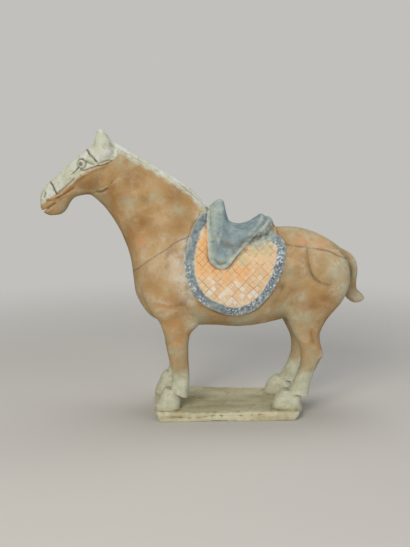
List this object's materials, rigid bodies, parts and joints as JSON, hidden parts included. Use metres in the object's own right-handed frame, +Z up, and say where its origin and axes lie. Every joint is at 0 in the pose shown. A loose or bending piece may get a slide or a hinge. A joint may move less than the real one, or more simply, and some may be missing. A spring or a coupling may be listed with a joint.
{
  "type": "terracotta horse figure",
  "caption": "Hollow fired-clay figure of a standing saddled horse on a flat slab, with cropped mane, turned-out tail, pommel and cantle saddle and a round saddlecloth.",
  "frame": {"origin": "middle of the underside of the base slab, on the surface the figure stands on", "axes": "+X along the horse towards its tail, +Y towards its right flank, +Z up; the head is towards -X"},
  "size_m": [0.3878, 0.1096, 0.34],
  "materials": {
    "painted_terracotta": "unglazed low-fired clay with worn cold pigment and a dusty slip, dead matt"
  },
  "bodies": {
    "root": {"terracotta_horse": "painted_terracotta"}
  },
  "joints": []
}
